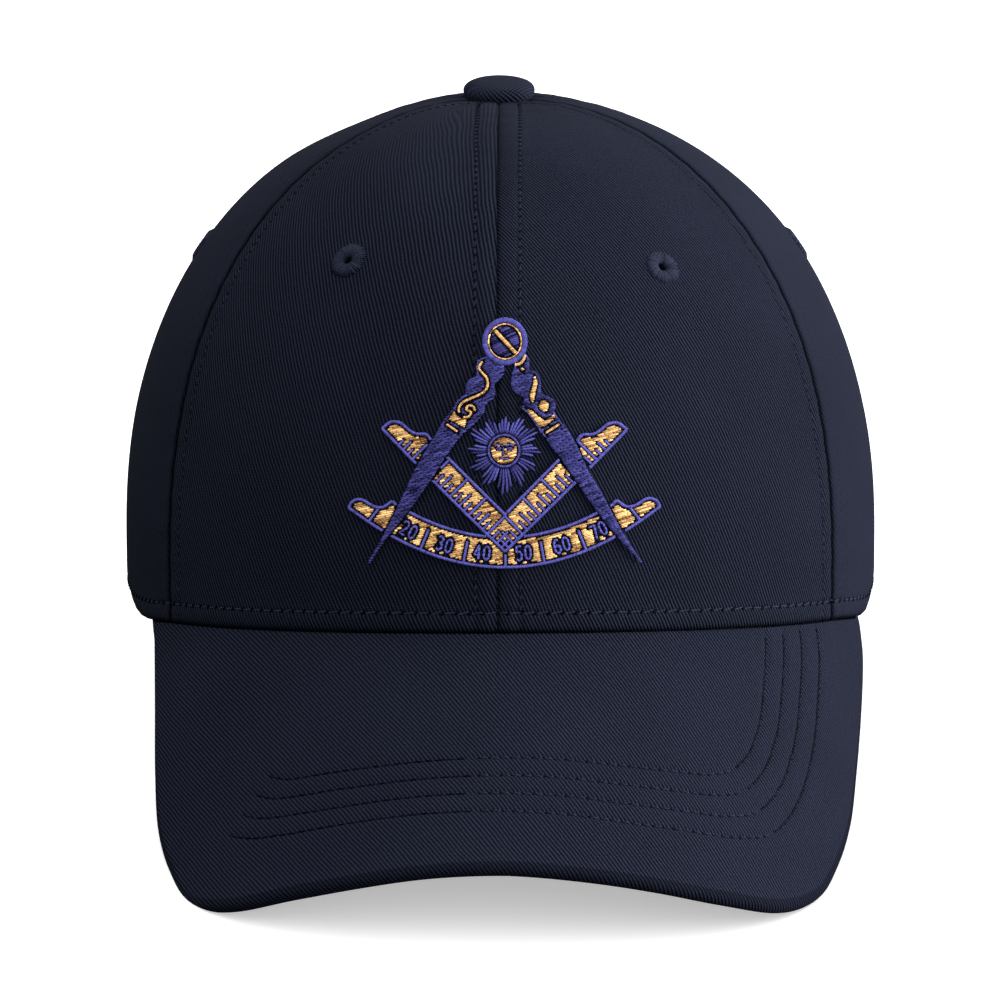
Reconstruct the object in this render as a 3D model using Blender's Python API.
"""Six-panel cap with a curved visor and a raised emblem on its front.

The cap is drawn in its own frame: the rim lies near z = 0, the front looks along -Y and +X is
the wearer's left. An empty then leans it back, so that it rests on the two lowest points of
its visor and on the flattened stretch of its rear rim, with z = 0 as the surface under it.
"""
import math
from collections import namedtuple

import bmesh
import bpy
from mathutils import Matrix, Vector

# Crown
CROWN_HALF_WIDTH = 0.088
CROWN_HALF_LENGTH = 0.099
CROWN_HEIGHT = 0.114
BAND_HEIGHT = 0.012
PANEL_WALL = 0.0016
RIM_FRONT_RISE = 0.0045
RIM_SIDE_DIP = 0.0024
SEAM_DIP = 0.0005
TIP_RADIUS = 0.003
FRONT_ROUNDNESS = 2.45
SIDE_ROUNDNESS = 2.2
BACK_ROUNDNESS = 2.2
CENTRE_SEAM = math.radians(-0.8)
FRONT_SEAM = math.radians(60)
BACK_SEAM = math.radians(120)
REAR_REST_START = math.radians(150)

# Clearances
PIECE_GAP = 0.0003

# Visor
VISOR_DEPTH = 0.0652
VISOR_SLOPE = math.radians(39)
VISOR_THICKNESS = 0.003
VISOR_END = math.radians(65)
VISOR_SIDE_REACH = 0.0018
VISOR_SEAT = 0.0014

# Top button
BUTTON_RADIUS = 0.00825
BUTTON_HEIGHT = 0.0042
BUTTON_SHANK_CLEARANCE = 0.0005
BUTTON_RIVET_RADIUS = 0.0045
BUTTON_RIVET_THICKNESS = 0.001

# Eyelets
EYELET_RADIUS = 0.00425
EYELET_BORE_RADIUS = 0.0008
EYELET_BARREL_WALL = 0.0007
EYELET_FLANGE = 0.0005
EYELET_CLIMB = 0.44

# Emblem, drawn on the front as seen from straight ahead
EMBLEM_Z = 0.0187
EMBLEM_RELIEF = 0.0007
COMPASS_RELIEF = 0.0014
COMPASS_PIVOT_HEIGHT = 0.0484
COMPASS_HEAD_RADIUS = 0.0051
COMPASS_HALF_SPREAD = 0.0295
COMPASS_LEG_HALF_WIDTH = 0.0029
QUADRANT_WIDTH = 0.0065
QUADRANT_HALF_ANGLE = math.radians(42.8)
SQUARE_VERTEX_HEIGHT = 0.0033
SQUARE_WIDTH = 0.0062
SQUARE_ARM = 0.0377
SUN_HEIGHT = 0.0253
SUN_FACE_RADIUS = 0.0031
SUN_RAY_LENGTH = 0.0052
SUN_RAYS = 22

# Shares of the visor's half width and of its run forward from its end, end to centre front
VisorRow = namedtuple("VisorRow", "half_width run")
VISOR_OUTLINE = (
    VisorRow(1.000, 0.000),
    VisorRow(0.988, 0.080),
    VisorRow(0.972, 0.260),
    VisorRow(0.952, 0.450),
    VisorRow(0.926, 0.620),
    VisorRow(0.880, 0.762),
    VisorRow(0.815, 0.882),
    VisorRow(0.705, 0.960),
    VisorRow(0.560, 0.990),
    VisorRow(0.400, 1.000),
    VisorRow(0.200, 1.000),
    VisorRow(0.000, 1.000),
)

# Shares of the leg's length and of its widest half width
LegRow = namedtuple("LegRow", "along outer inner")
COMPASS_LEG = (
    LegRow(0.130, 0.95, 0.60),
    LegRow(0.200, 0.78, 0.95),
    LegRow(0.250, 1.00, 0.78),
    LegRow(0.300, 0.72, 0.86),
    LegRow(0.360, 0.92, 0.92),
    LegRow(0.430, 0.84, 0.84),
    LegRow(0.520, 0.72, 0.72),
    LegRow(0.640, 0.48, 0.48),
    LegRow(0.800, 0.36, 0.36),
    LegRow(1.000, 0.05, 0.05),
)

# Shares of the arm's length and of its width, from the shoulder to the tip
ArmRow = namedtuple("ArmRow", "along across")
SQUARE_ARM_END = (
    ArmRow(0.740, 1.00),
    ArmRow(0.795, 1.04),
    ArmRow(0.840, 0.80),
    ArmRow(0.880, 0.72),
    ArmRow(0.945, 0.68),
    ArmRow(0.990, 0.46),
    ArmRow(1.000, 0.14),
)

# Shares of the quadrant's half angle and of its width, from the shoulder to the tip
TipRow = namedtuple("TipRow", "turn across")
QUADRANT_TIP = (
    TipRow(0.800, 1.00),
    TipRow(0.825, 0.96),
    TipRow(0.850, 0.66),
    TipRow(0.900, 0.60),
    TipRow(0.960, 0.58),
    TipRow(0.990, 0.36),
    TipRow(1.000, 0.08),
)

# Facets
PANEL_COLUMNS = 13
PANEL_ROWS = 13
BAND_ROWS = 2
VISOR_STATIONS = 49
VISOR_ROWS = 5
TURN_STEPS = 24
EYELET_STEPS = 12
EMBLEM_CELL = 0.005

NAVY = (0.012, 0.016, 0.030)
NAVY_VISOR = (0.015, 0.020, 0.036)
VIOLET = (0.075, 0.065, 0.330)
GOLD = (0.640, 0.330, 0.085)


def clear_scene():
    """Remove every object that the file opened with."""
    for thing in list(bpy.data.objects):
        bpy.data.objects.remove(thing, do_unlink=True)


def material(name, colour, roughness):
    """Return a new cloth or thread material of one colour."""
    made = bpy.data.materials.new(name)
    made.use_nodes = True
    shader = made.node_tree.nodes["Principled BSDF"]
    shader.inputs["Base Color"].default_value = (*colour, 1.0)
    shader.inputs["Roughness"].default_value = roughness
    shader.inputs["Metallic"].default_value = 0.0
    return made


def add_object(name, mesh, frame, colour, roughness=0.9):
    """Link one named piece under the cap's frame with a material of its own."""
    piece = bpy.data.objects.new(name, mesh)
    bpy.context.scene.collection.objects.link(piece)
    piece.parent = frame
    if not mesh.materials:
        mesh.materials.append(material(name + "_material", colour, roughness))
    return piece


def finish_mesh(bm, name):
    """Turn a bmesh into a mesh whose faces point out."""
    bmesh.ops.recalc_face_normals(bm, faces=bm.faces)
    mesh = bpy.data.meshes.new(name)
    bm.to_mesh(mesh)
    bm.free()
    mesh.shade_smooth()
    mesh.set_sharp_from_angle(angle=math.radians(35))
    return mesh


# The crown's surface


def roundness(azimuth):
    """Exponent of the crown's curve from the band to the top, at an azimuth from the front."""
    ahead = math.cos(azimuth)
    end = FRONT_ROUNDNESS if ahead > 0 else BACK_ROUNDNESS
    return SIDE_ROUNDNESS + (end - SIDE_ROUNDNESS) * ahead ** 2


def rim_height(azimuth):
    """Height of the crown's lower edge: raised over the visor, dipped at the sides."""
    height = -RIM_SIDE_DIP * math.sin(azimuth) ** 2
    if abs(azimuth) < VISOR_END:
        height += RIM_FRONT_RISE * math.cos(azimuth / VISOR_END * math.pi / 2)
    return height


def crown_point(azimuth, climb):
    """Point of the crown's outer surface.

    A climb of -1 is the rim, 0 is the top of the straight band and 1 is the apex.
    """
    if climb <= 0:
        rim = rim_height(azimuth)
        height = rim + (BAND_HEIGHT - rim) * (1 + climb)
        spread = 1.0
    else:
        power = 2 / roundness(azimuth)
        rise = math.sin(climb * math.pi / 2) ** power
        height = BAND_HEIGHT + (CROWN_HEIGHT - BAND_HEIGHT) * rise
        spread = math.cos(climb * math.pi / 2) ** power
    return Vector((
        CROWN_HALF_WIDTH * math.sin(azimuth) * spread,
        -CROWN_HALF_LENGTH * math.cos(azimuth) * spread,
        height,
    ))


def crown_normal(azimuth, climb):
    """Unit normal that points out of the crown."""
    step = 1e-3
    if climb <= 0:
        climb = step / 2
    climb = min(climb, 1 - 2 * step)
    along = crown_point(azimuth + step, climb) - crown_point(azimuth - step, climb)
    upward = crown_point(azimuth, climb + step / 2) - crown_point(azimuth, climb - step / 2)
    if climb <= step:
        upward = Vector((0, 0, 1))
    return along.cross(upward).normalized()


def front_point(across, height, lift=0.0):
    """Point on the crown's front seen from straight ahead, raised by lift along the normal."""
    def surface(x, z):
        azimuth = 0.0
        spread = 1.0
        for _ in range(5):
            power = roundness(azimuth)
            rise = max(0.0, (z - BAND_HEIGHT) / (CROWN_HEIGHT - BAND_HEIGHT))
            spread = (1 - rise ** power) ** (1 / power)
            azimuth = math.asin(x / (CROWN_HALF_WIDTH * spread))
        return Vector((x, -CROWN_HALF_LENGTH * math.cos(azimuth) * spread, z))

    step = 1e-4
    right = surface(across + step, height) - surface(across - step, height)
    up = surface(across, height + step) - surface(across, height - step)
    return surface(across, height) + right.cross(up).normalized() * lift


# The visor


def smooth_outline(rows, count):
    """Points evenly spaced along a smooth curve through the outline's rows."""
    dense = []
    for index in range(len(rows) - 1):
        before = Vector(rows[max(0, index - 1)])
        start = Vector(rows[index])
        end = Vector(rows[index + 1])
        after = Vector(rows[min(len(rows) - 1, index + 2)])
        for part in range(12):
            t = part / 12
            dense.append(0.5 * (
                2 * start + (end - before) * t
                + (2 * before - 5 * start + 4 * end - after) * t ** 2
                + (3 * start - before - 3 * end + after) * t ** 3
            ))
    dense.append(Vector(rows[-1]))
    lengths = [0.0]
    for first, second in zip(dense, dense[1:]):
        lengths.append(lengths[-1] + (second - first).length)
    points = []
    at = 0
    for index in range(count):
        wanted = lengths[-1] * index / (count - 1)
        while at < len(lengths) - 2 and lengths[at + 1] < wanted:
            at += 1
        share = (wanted - lengths[at]) / (lengths[at + 1] - lengths[at])
        points.append(dense[at].lerp(dense[at + 1], share))
    return points


def visor_arch(across):
    """Height of the visor's arch over its sloping axis, taken from the rim above it."""
    azimuth = math.asin(max(-1.0, min(1.0, across / CROWN_HALF_WIDTH)))
    rise = CROWN_HALF_LENGTH * math.cos(azimuth) * math.sin(VISOR_SLOPE)
    return rise + rim_height(azimuth) * math.cos(VISOR_SLOPE) - PIECE_GAP


def visor_point(across, run):
    """Point of the visor's upper surface, across the cap and down along its slope."""
    arch = visor_arch(across)
    return Vector((
        across,
        -run * math.cos(VISOR_SLOPE) - arch * math.sin(VISOR_SLOPE),
        -run * math.sin(VISOR_SLOPE) + arch * math.cos(VISOR_SLOPE),
    ))


def visor_normal(across, run):
    """Unit normal that points up out of the visor."""
    step = 1e-4
    sideways = visor_point(across + step, run) - visor_point(across - step, run)
    return sideways.cross(visor_axis() * -1).normalized()


def visor_axis():
    """Direction in which the visor slopes away from the rim."""
    return Vector((0, -math.cos(VISOR_SLOPE), -math.sin(VISOR_SLOPE)))


def visor_run_of(point):
    """Distance of a point down the visor's slope."""
    return point.dot(visor_axis())


def rim_seat(azimuth):
    """Point under the crown's outer lower edge, with the direction in under its wall."""
    edge = crown_point(azimuth, -1)
    inward = -crown_normal(azimuth, 0)
    return edge - Vector((0, 0, PIECE_GAP)), inward


def visor_outline():
    """Outer edge of the visor as (across, run) pairs, from one end round to the other."""
    end = crown_point(VISOR_END, -1)
    start = visor_run_of(end)
    half_width = end.x + VISOR_SIDE_REACH
    reach = visor_run_of(crown_point(0, -1)) + VISOR_DEPTH - start
    rows = [(row.half_width * half_width, start + row.run * reach) for row in VISOR_OUTLINE]
    side = smooth_outline(rows, VISOR_STATIONS // 2 + 1)
    return [Vector((-p.x, p.y)) for p in side] + [p.copy() for p in reversed(side[:-1])]


def visor_sections():
    """Closed cross sections of the visor, from the wearer's right end to the left one."""
    outline = visor_outline()
    nose = VISOR_THICKNESS / 2
    axis = visor_axis()
    sections = []
    for index, place in enumerate(outline):
        azimuth = VISOR_END * (2 * index / (VISOR_STATIONS - 1) - 1)
        before = outline[max(0, index - 1)]
        after = outline[min(VISOR_STATIONS - 1, index + 1)]
        normal = visor_normal(place.x, place.y)
        tangent = (visor_point(*after) - visor_point(*before)).normalized()
        outward = tangent.cross(normal).normalized()
        if outward.dot(axis) < 0 and abs(azimuth) < VISOR_END / 2:
            outward.negate()
        inset_across = place.x - nose * outward.x
        inset_run = place.y - nose * outward.dot(axis)
        seat, inward = rim_seat(azimuth)
        rim_run = visor_run_of(seat)
        top = []
        bottom = []
        for row in range(VISOR_ROWS + 1):
            share = row / VISOR_ROWS
            across = seat.x + (inset_across - seat.x) * share
            run = rim_run + (inset_run - rim_run) * share
            point = visor_point(across, run)
            top.append(point)
            bottom.append(point - visor_normal(across, run) * VISOR_THICKNESS)
        edge = []
        for turn in (60, 20, -20, -60):
            angle = math.radians(turn)
            middle = top[-1].lerp(bottom[-1], 0.5)
            edge.append(
                middle + outward * nose * math.cos(angle) + normal * nose * math.sin(angle)
            )
        ledge = seat + inward * (PANEL_WALL + VISOR_SEAT)
        drop = Vector((0, 0, VISOR_THICKNESS * 0.8))
        sections.append([ledge] + top + edge + bottom[::-1] + [ledge - drop])
    return sections


def build_visor(sections):
    """Skin the visor's sections into one closed board."""
    bm = bmesh.new()
    loops = [[bm.verts.new(point) for point in section] for section in sections]
    for first, second in zip(loops, loops[1:]):
        for index in range(len(first)):
            following = (index + 1) % len(first)
            bm.faces.new((first[index], first[following], second[following], second[index]))
    ends = [bm.faces.new(loops[0][::-1]), bm.faces.new(loops[-1])]
    bmesh.ops.triangulate(bm, faces=ends)
    return finish_mesh(bm, "visor")


# How the cap leans


def rest_plane(sections):
    """Lean of the surface under the cap, with the rear point that it passes through."""
    rear = crown_point(REAR_REST_START, -1)
    lean = max(
        math.atan2(rear.z - point.z, rear.y - point.y)
        for section in sections for point in section
    )
    return lean, rear


def lower_edge(point, azimuth, lean, rear):
    """Drop or lift a point of the crown's lower edge on to the surface under its rear."""
    if abs(azimuth) >= REAR_REST_START - 1e-6:
        point.z = rear.z + (point.y - rear.y) * math.tan(lean)
    return point


# Crown panels


def panel_climbs():
    """Climbs of a panel's rows, from the rim to its cut-off tip."""
    tip_spread = (TIP_RADIUS / CROWN_HALF_WIDTH) ** (SIDE_ROUNDNESS / 2)
    tip = math.acos(tip_spread) * 2 / math.pi
    band = [-1 + index / BAND_ROWS for index in range(BAND_ROWS)]
    return band + [tip * index / (PANEL_ROWS - 1) for index in range(PANEL_ROWS)]


def build_panel(name, start, end, lean, rear):
    """One tapering panel as a closed wall between two seams."""
    outer = []
    inner = []
    for climb in panel_climbs():
        outer_row = []
        inner_row = []
        breadth = max(crown_point((start + end) / 2, climb).xy.length, TIP_RADIUS)
        half_gap = PIECE_GAP / 2 / breadth * 1.1
        for column in range(PANEL_COLUMNS):
            share = 0.5 - 0.5 * math.cos(math.pi * column / (PANEL_COLUMNS - 1))
            share = 0.35 * share + 0.65 * column / (PANEL_COLUMNS - 1)
            azimuth = start + half_gap + (end - start - 2 * half_gap) * share
            normal = crown_normal(azimuth, climb)
            dip = SEAM_DIP * abs(2 * share - 1) ** 10
            if climb < 0:
                dip *= 1 + climb
            point = crown_point(azimuth, climb) - normal * dip
            behind = point - normal * PANEL_WALL
            if climb == -1:
                point = lower_edge(point, azimuth, lean, rear)
                behind = lower_edge(behind, azimuth, lean, rear)
            outer_row.append(point)
            inner_row.append(behind)
        outer.append(outer_row)
        inner.append(inner_row)
    return shell_mesh(name, outer, inner)


def shell_mesh(name, outer, inner):
    """Close two matching grids of points into one wall."""
    bm = bmesh.new()
    grids = [[[bm.verts.new(point) for point in row] for row in grid] for grid in (outer, inner)]
    rows = len(outer)
    columns = len(outer[0])
    for row in range(rows - 1):
        for column in range(columns - 1):
            for grid in grids:
                bm.faces.new((
                    grid[row][column], grid[row][column + 1],
                    grid[row + 1][column + 1], grid[row + 1][column],
                ))
    front, back = grids
    borders = [
        ([front[0][c] for c in range(columns)], [back[0][c] for c in range(columns)]),
        ([front[-1][c] for c in range(columns)], [back[-1][c] for c in range(columns)]),
        ([front[r][0] for r in range(rows)], [back[r][0] for r in range(rows)]),
        ([front[r][-1] for r in range(rows)], [back[r][-1] for r in range(rows)]),
    ]
    for near, far in borders:
        for index in range(len(near) - 1):
            bm.faces.new((near[index], near[index + 1], far[index + 1], far[index]))
    return finish_mesh(bm, name)


# Turned pieces


def turned_mesh(name, profile, steps):
    """Turn a closed profile of (radius, height) points about the Z axis."""
    bm = bmesh.new()
    rings = []
    for radius, height in profile:
        if radius < 1e-7:
            rings.append([bm.verts.new((0, 0, height))])
        else:
            rings.append([
                bm.verts.new((
                    radius * math.cos(2 * math.pi * step / steps),
                    radius * math.sin(2 * math.pi * step / steps),
                    height,
                ))
                for step in range(steps)
            ])
    closed = all(len(ring) > 1 for ring in rings)
    pairs = list(zip(rings, rings[1:] + rings[:1])) if closed else list(zip(rings, rings[1:]))
    for first, second in pairs:
        for step in range(steps):
            following = (step + 1) % steps
            corners = [first[step % len(first)], first[following % len(first)],
                       second[following % len(second)], second[step % len(second)]]
            unique = list(dict.fromkeys(corners))
            bm.faces.new(unique)
    return finish_mesh(bm, name)


def button_profile():
    """Domed button with a shank through the crown's top and a rivet head inside it."""
    shank = TIP_RADIUS - BUTTON_SHANK_CLEARANCE
    seat = CROWN_HEIGHT + PIECE_GAP
    inside = CROWN_HEIGHT - PANEL_WALL - SEAM_DIP - PIECE_GAP
    profile = [
        (0, inside - BUTTON_RIVET_THICKNESS),
        (BUTTON_RIVET_RADIUS * 0.8, inside - BUTTON_RIVET_THICKNESS),
        (BUTTON_RIVET_RADIUS, inside - BUTTON_RIVET_THICKNESS * 0.5),
        (BUTTON_RIVET_RADIUS, inside),
        (shank, inside),
        (shank, seat),
        (BUTTON_RADIUS * 0.96, seat),
    ]
    for step in range(6):
        angle = math.pi / 2 * (step + 0.7) / 6
        profile.append((
            BUTTON_RADIUS * math.cos(angle) ** 0.7,
            seat + BUTTON_HEIGHT * math.sin(angle) ** 0.8,
        ))
    profile.append((0, seat + BUTTON_HEIGHT))
    return profile


def eyelet_profile():
    """Worked eyelet as a ring that grips the panel from both sides, as (radius, height)."""
    barrel = EYELET_BORE_RADIUS + EYELET_BARREL_WALL
    sag = EYELET_RADIUS ** 2 / (2 * CROWN_HALF_WIDTH)
    under = PIECE_GAP
    inside = -PANEL_WALL - PIECE_GAP - sag
    inner_radius = EYELET_RADIUS * 0.8
    return [
        (EYELET_BORE_RADIUS, under),
        (EYELET_BORE_RADIUS, inside),
        ((EYELET_BORE_RADIUS + inner_radius) / 2, inside - EYELET_FLANGE * 0.6),
        (inner_radius, inside - EYELET_FLANGE * 0.2),
        (inner_radius * 0.95, inside),
        (barrel, inside),
        (barrel, under),
        (EYELET_RADIUS * 0.97, under),
        (EYELET_RADIUS, under + EYELET_FLANGE * 0.3),
        ((EYELET_BORE_RADIUS + EYELET_RADIUS) / 2, under + EYELET_FLANGE),
    ]


def eyelet_matrix(azimuth):
    """Place of an eyelet on the crown, with its axis along the crown's normal."""
    normal = crown_normal(azimuth, EYELET_CLIMB)
    turn = normal.to_track_quat("Z", "Y").to_matrix().to_4x4()
    return Matrix.Translation(crown_point(azimuth, EYELET_CLIMB)) @ turn


def cut_eyelet_hole(panel, place, frame):
    """Pierce a panel where its eyelet passes through."""
    radius = EYELET_BORE_RADIUS + EYELET_BARREL_WALL + PIECE_GAP
    deep = PANEL_WALL * 3
    mesh = turned_mesh(
        panel.name + "_hole", [(0, -deep), (radius, -deep), (radius, deep), (0, deep)],
        EYELET_STEPS,
    )
    cutter = bpy.data.objects.new(panel.name + "_hole", mesh)
    bpy.context.scene.collection.objects.link(cutter)
    cutter.parent = frame
    cutter.matrix_local = place
    cutter.hide_render = True
    cutter.display_type = "WIRE"
    hole = panel.modifiers.new("eyelet hole", "BOOLEAN")
    hole.operation = "DIFFERENCE"
    hole.solver = "EXACT"
    hole.object = cutter


# Emblem outlines, drawn flat with the origin at the quadrant's lowest point


def mirrored(side):
    """Complete an outline from its right half, which starts and ends on the middle line."""
    return side + [(-x, y) for x, y in reversed(side[1:-1])]


def compass_outline():
    """Head, two ornamented legs and their points as one outline."""
    pivot = COMPASS_PIVOT_HEIGHT
    length = math.hypot(COMPASS_HALF_SPREAD, pivot)
    along = (COMPASS_HALF_SPREAD / length, -pivot / length)
    outward = (-along[1], along[0])

    def leg_point(share, offset):
        reach = share * length
        return (
            reach * along[0] + offset * outward[0],
            pivot + reach * along[1] + offset * outward[1],
        )

    side = []
    for step in range(9):
        angle = math.radians(90 - step * 15)
        side.append((
            COMPASS_HEAD_RADIUS * math.cos(angle),
            pivot + COMPASS_HEAD_RADIUS * math.sin(angle),
        ))
    side[0] = (0.0, pivot + COMPASS_HEAD_RADIUS)
    for row in COMPASS_LEG:
        side.append(leg_point(row.along, row.outer * COMPASS_LEG_HALF_WIDTH))
    for row in reversed(COMPASS_LEG):
        side.append(leg_point(row.along, -row.inner * COMPASS_LEG_HALF_WIDTH))
    side.append((0.0, pivot - COMPASS_HEAD_RADIUS * 1.12))
    return mirrored(side)


def square_outline():
    """Two arms at a right angle with ogee ends."""
    slant = math.sqrt(0.5)

    def arm_point(along, across):
        return (
            (along - across) * slant,
            SQUARE_VERTEX_HEIGHT + (along + across) * slant,
        )

    side = [(0.0, SQUARE_VERTEX_HEIGHT), arm_point(SQUARE_ARM, 0.0)]
    for row in reversed(SQUARE_ARM_END):
        side.append(arm_point(row.along * SQUARE_ARM, row.across * SQUARE_WIDTH))
    side.append((0.0, SQUARE_VERTEX_HEIGHT + SQUARE_WIDTH / slant))
    return mirrored(side)


def quadrant_outline():
    """Graduated arc about the compasses' pivot, with ogee ends."""
    pivot = COMPASS_PIVOT_HEIGHT

    def arc_point(turn, across):
        radius = pivot - across * QUADRANT_WIDTH
        angle = turn * QUADRANT_HALF_ANGLE
        return radius * math.sin(angle), pivot - radius * math.cos(angle)

    side = [arc_point(step / 12, 0.0) for step in range(13)]
    for row in reversed(QUADRANT_TIP):
        side.append(arc_point(row.turn, row.across))
    shoulder = QUADRANT_TIP[0].turn
    side += [arc_point(shoulder * (1 - step / 9), 1.0) for step in range(1, 10)]
    return mirrored(side)


def sun_outline():
    """Face and rays as one star, longer below than above."""
    points = []
    for index in range(2 * SUN_RAYS):
        angle = math.pi / 2 + math.pi * index / SUN_RAYS
        reach = SUN_FACE_RADIUS * 1.12
        if index % 2 == 0:
            stretch = 0.96 - 0.28 * math.sin(angle) + 0.12 * math.sin(angle) ** 2
            reach = SUN_FACE_RADIUS + SUN_RAY_LENGTH * stretch
        points.append((reach * math.cos(angle), SUN_HEIGHT + reach * math.sin(angle)))
    return points


def grown(outline, margin):
    """Move an outline out by a margin all round."""
    area = sum(
        a[0] * b[1] - b[0] * a[1] for a, b in zip(outline, outline[1:] + outline[:1])
    )
    sign = 1 if area > 0 else -1
    moved = []
    for index, point in enumerate(outline):
        here = Vector(point)
        first = (here - Vector(outline[index - 1])).normalized()
        second = (Vector(outline[(index + 1) % len(outline)]) - here).normalized()
        bisector = (Vector((first.y, -first.x)) + Vector((second.y, -second.x))) * sign
        reach = margin / max(0.35, bisector.length_squared / 2 / max(bisector.length, 1e-9))
        moved.append(tuple(here + bisector.normalized() * reach))
    return moved


def slab(name, outline, low, high):
    """Flat plate of an outline between two heights."""
    bm = bmesh.new()
    face = bm.faces.new([bm.verts.new((x, y, low)) for x, y in outline])
    raised = bmesh.ops.extrude_face_region(bm, geom=[face])
    upper = [item for item in raised["geom"] if isinstance(item, bmesh.types.BMVert)]
    bmesh.ops.translate(bm, verts=upper, vec=(0, 0, high - low))
    bmesh.ops.triangulate(bm, faces=bm.faces)
    return finish_mesh(bm, name)


def cut_flat(mesh, cutters):
    """Take cutters away from a flat plate and return the plate that is left."""
    plate = bpy.data.objects.new("plate", mesh)
    bpy.context.scene.collection.objects.link(plate)
    tools = []
    for cutter in cutters:
        tool = bpy.data.objects.new("tool", cutter)
        bpy.context.scene.collection.objects.link(tool)
        cut = plate.modifiers.new("cut", "BOOLEAN")
        cut.operation = "DIFFERENCE"
        cut.solver = "EXACT"
        cut.object = tool
        tools.append(tool)
    bpy.context.view_layer.update()
    graph = bpy.context.evaluated_depsgraph_get()
    result = bpy.data.meshes.new_from_object(plate.evaluated_get(graph))
    for thing in [plate] + tools:
        bpy.data.objects.remove(thing, do_unlink=True)
    return result


def wrap_on_front(mesh, name):
    """Bend a flat plate on to the crown's front."""
    bm = bmesh.new()
    bm.from_mesh(mesh)
    bmesh.ops.triangulate(bm, faces=bm.faces)
    width = max(abs(vert.co.x) for vert in bm.verts)
    height = max(vert.co.y for vert in bm.verts)
    cuts = []
    columns = int(width / EMBLEM_CELL) + 1
    for column in range(-columns, columns + 1):
        cuts.append((Vector((column * EMBLEM_CELL, 0, 0)), Vector((1, 0, 0))))
    for row in range(int(height / EMBLEM_CELL) + 1):
        cuts.append((Vector((0, row * EMBLEM_CELL, 0)), Vector((0, 1, 0))))
    for place, across in cuts:
        everything = bm.verts[:] + bm.edges[:] + bm.faces[:]
        bmesh.ops.bisect_plane(bm, geom=everything, plane_co=place, plane_no=across, dist=2e-5)
        bmesh.ops.triangulate(bm, faces=[face for face in bm.faces if len(face.verts) > 3])
    for vert in bm.verts:
        flat = vert.co.copy()
        vert.co = front_point(flat.x, flat.y + EMBLEM_Z, flat.z)
    return finish_mesh(bm, name)


def build_emblem():
    """Return the four parts of the emblem as meshes, by name."""
    low = PIECE_GAP
    top = low + EMBLEM_RELIEF
    compass_top = low + COMPASS_RELIEF
    over = top + PIECE_GAP
    square = square_outline()
    quadrant = quadrant_outline()
    square_room = grown(square, PIECE_GAP)
    quadrant_room = grown(quadrant, PIECE_GAP)
    compasses = cut_flat(
        slab("compasses_flat", compass_outline(), low, compass_top),
        [slab("square_room", square_room, -low, over),
         slab("quadrant_room", quadrant_room, -low, over)],
    )
    notched = cut_flat(
        slab("quadrant_flat", quadrant, low, top),
        [slab("square_notch", square_room, -low, compass_top)],
    )
    return {
        "emblem_compasses": (wrap_on_front(compasses, "emblem_compasses"), VIOLET),
        "emblem_square": (
            wrap_on_front(slab("square_flat", square, low, top), "emblem_square"), GOLD,
        ),
        "emblem_quadrant": (wrap_on_front(notched, "emblem_quadrant"), GOLD),
        "emblem_sun": (
            wrap_on_front(slab("sun_flat", sun_outline(), low, top), "emblem_sun"), GOLD,
        ),
    }


def settle(frame, lean):
    """Lean the cap back on to its rest, centred over the origin."""
    turn = Matrix.Rotation(-lean, 4, "X")
    points = [
        turn @ (thing.matrix_basis @ vert.co)
        for thing in frame.children if not thing.hide_render
        for vert in thing.data.vertices
    ]
    middle = (min(p.y for p in points) + max(p.y for p in points)) / 2
    frame.rotation_euler = (-lean, 0, 0)
    frame.location = (0, -middle, -min(p.z for p in points))


def main():
    """Build the cap."""
    clear_scene()
    frame = bpy.data.objects.new("cap_frame", None)
    bpy.context.scene.collection.objects.link(frame)

    sections = visor_sections()
    lean, rear = rest_plane(sections)
    add_object("visor", build_visor(sections), frame, NAVY_VISOR)

    spans = (
        ("front_left_panel", CENTRE_SEAM, FRONT_SEAM),
        ("side_left_panel", FRONT_SEAM, BACK_SEAM),
        ("back_left_panel", BACK_SEAM, math.pi),
        ("front_right_panel", -FRONT_SEAM, CENTRE_SEAM),
        ("side_right_panel", -BACK_SEAM, -FRONT_SEAM),
        ("back_right_panel", -math.pi, -BACK_SEAM),
    )
    eyelet = turned_mesh("eyelet", eyelet_profile(), EYELET_STEPS)
    for name, start, end in spans:
        panel = add_object(name, build_panel(name, start, end, lean, rear), frame, NAVY)
        place = eyelet_matrix((start + end) / 2)
        cut_eyelet_hole(panel, place, frame)
        ring = add_object(name.replace("panel", "eyelet"), eyelet, frame, NAVY, 0.8)
        ring.matrix_local = place

    button = turned_mesh("top_button", button_profile(), TURN_STEPS)
    add_object("top_button", button, frame, NAVY_VISOR)

    for name, (mesh, colour) in build_emblem().items():
        add_object(name, mesh, frame, colour, 0.6)

    settle(frame, lean)
    bpy.context.view_layer.update()


main()
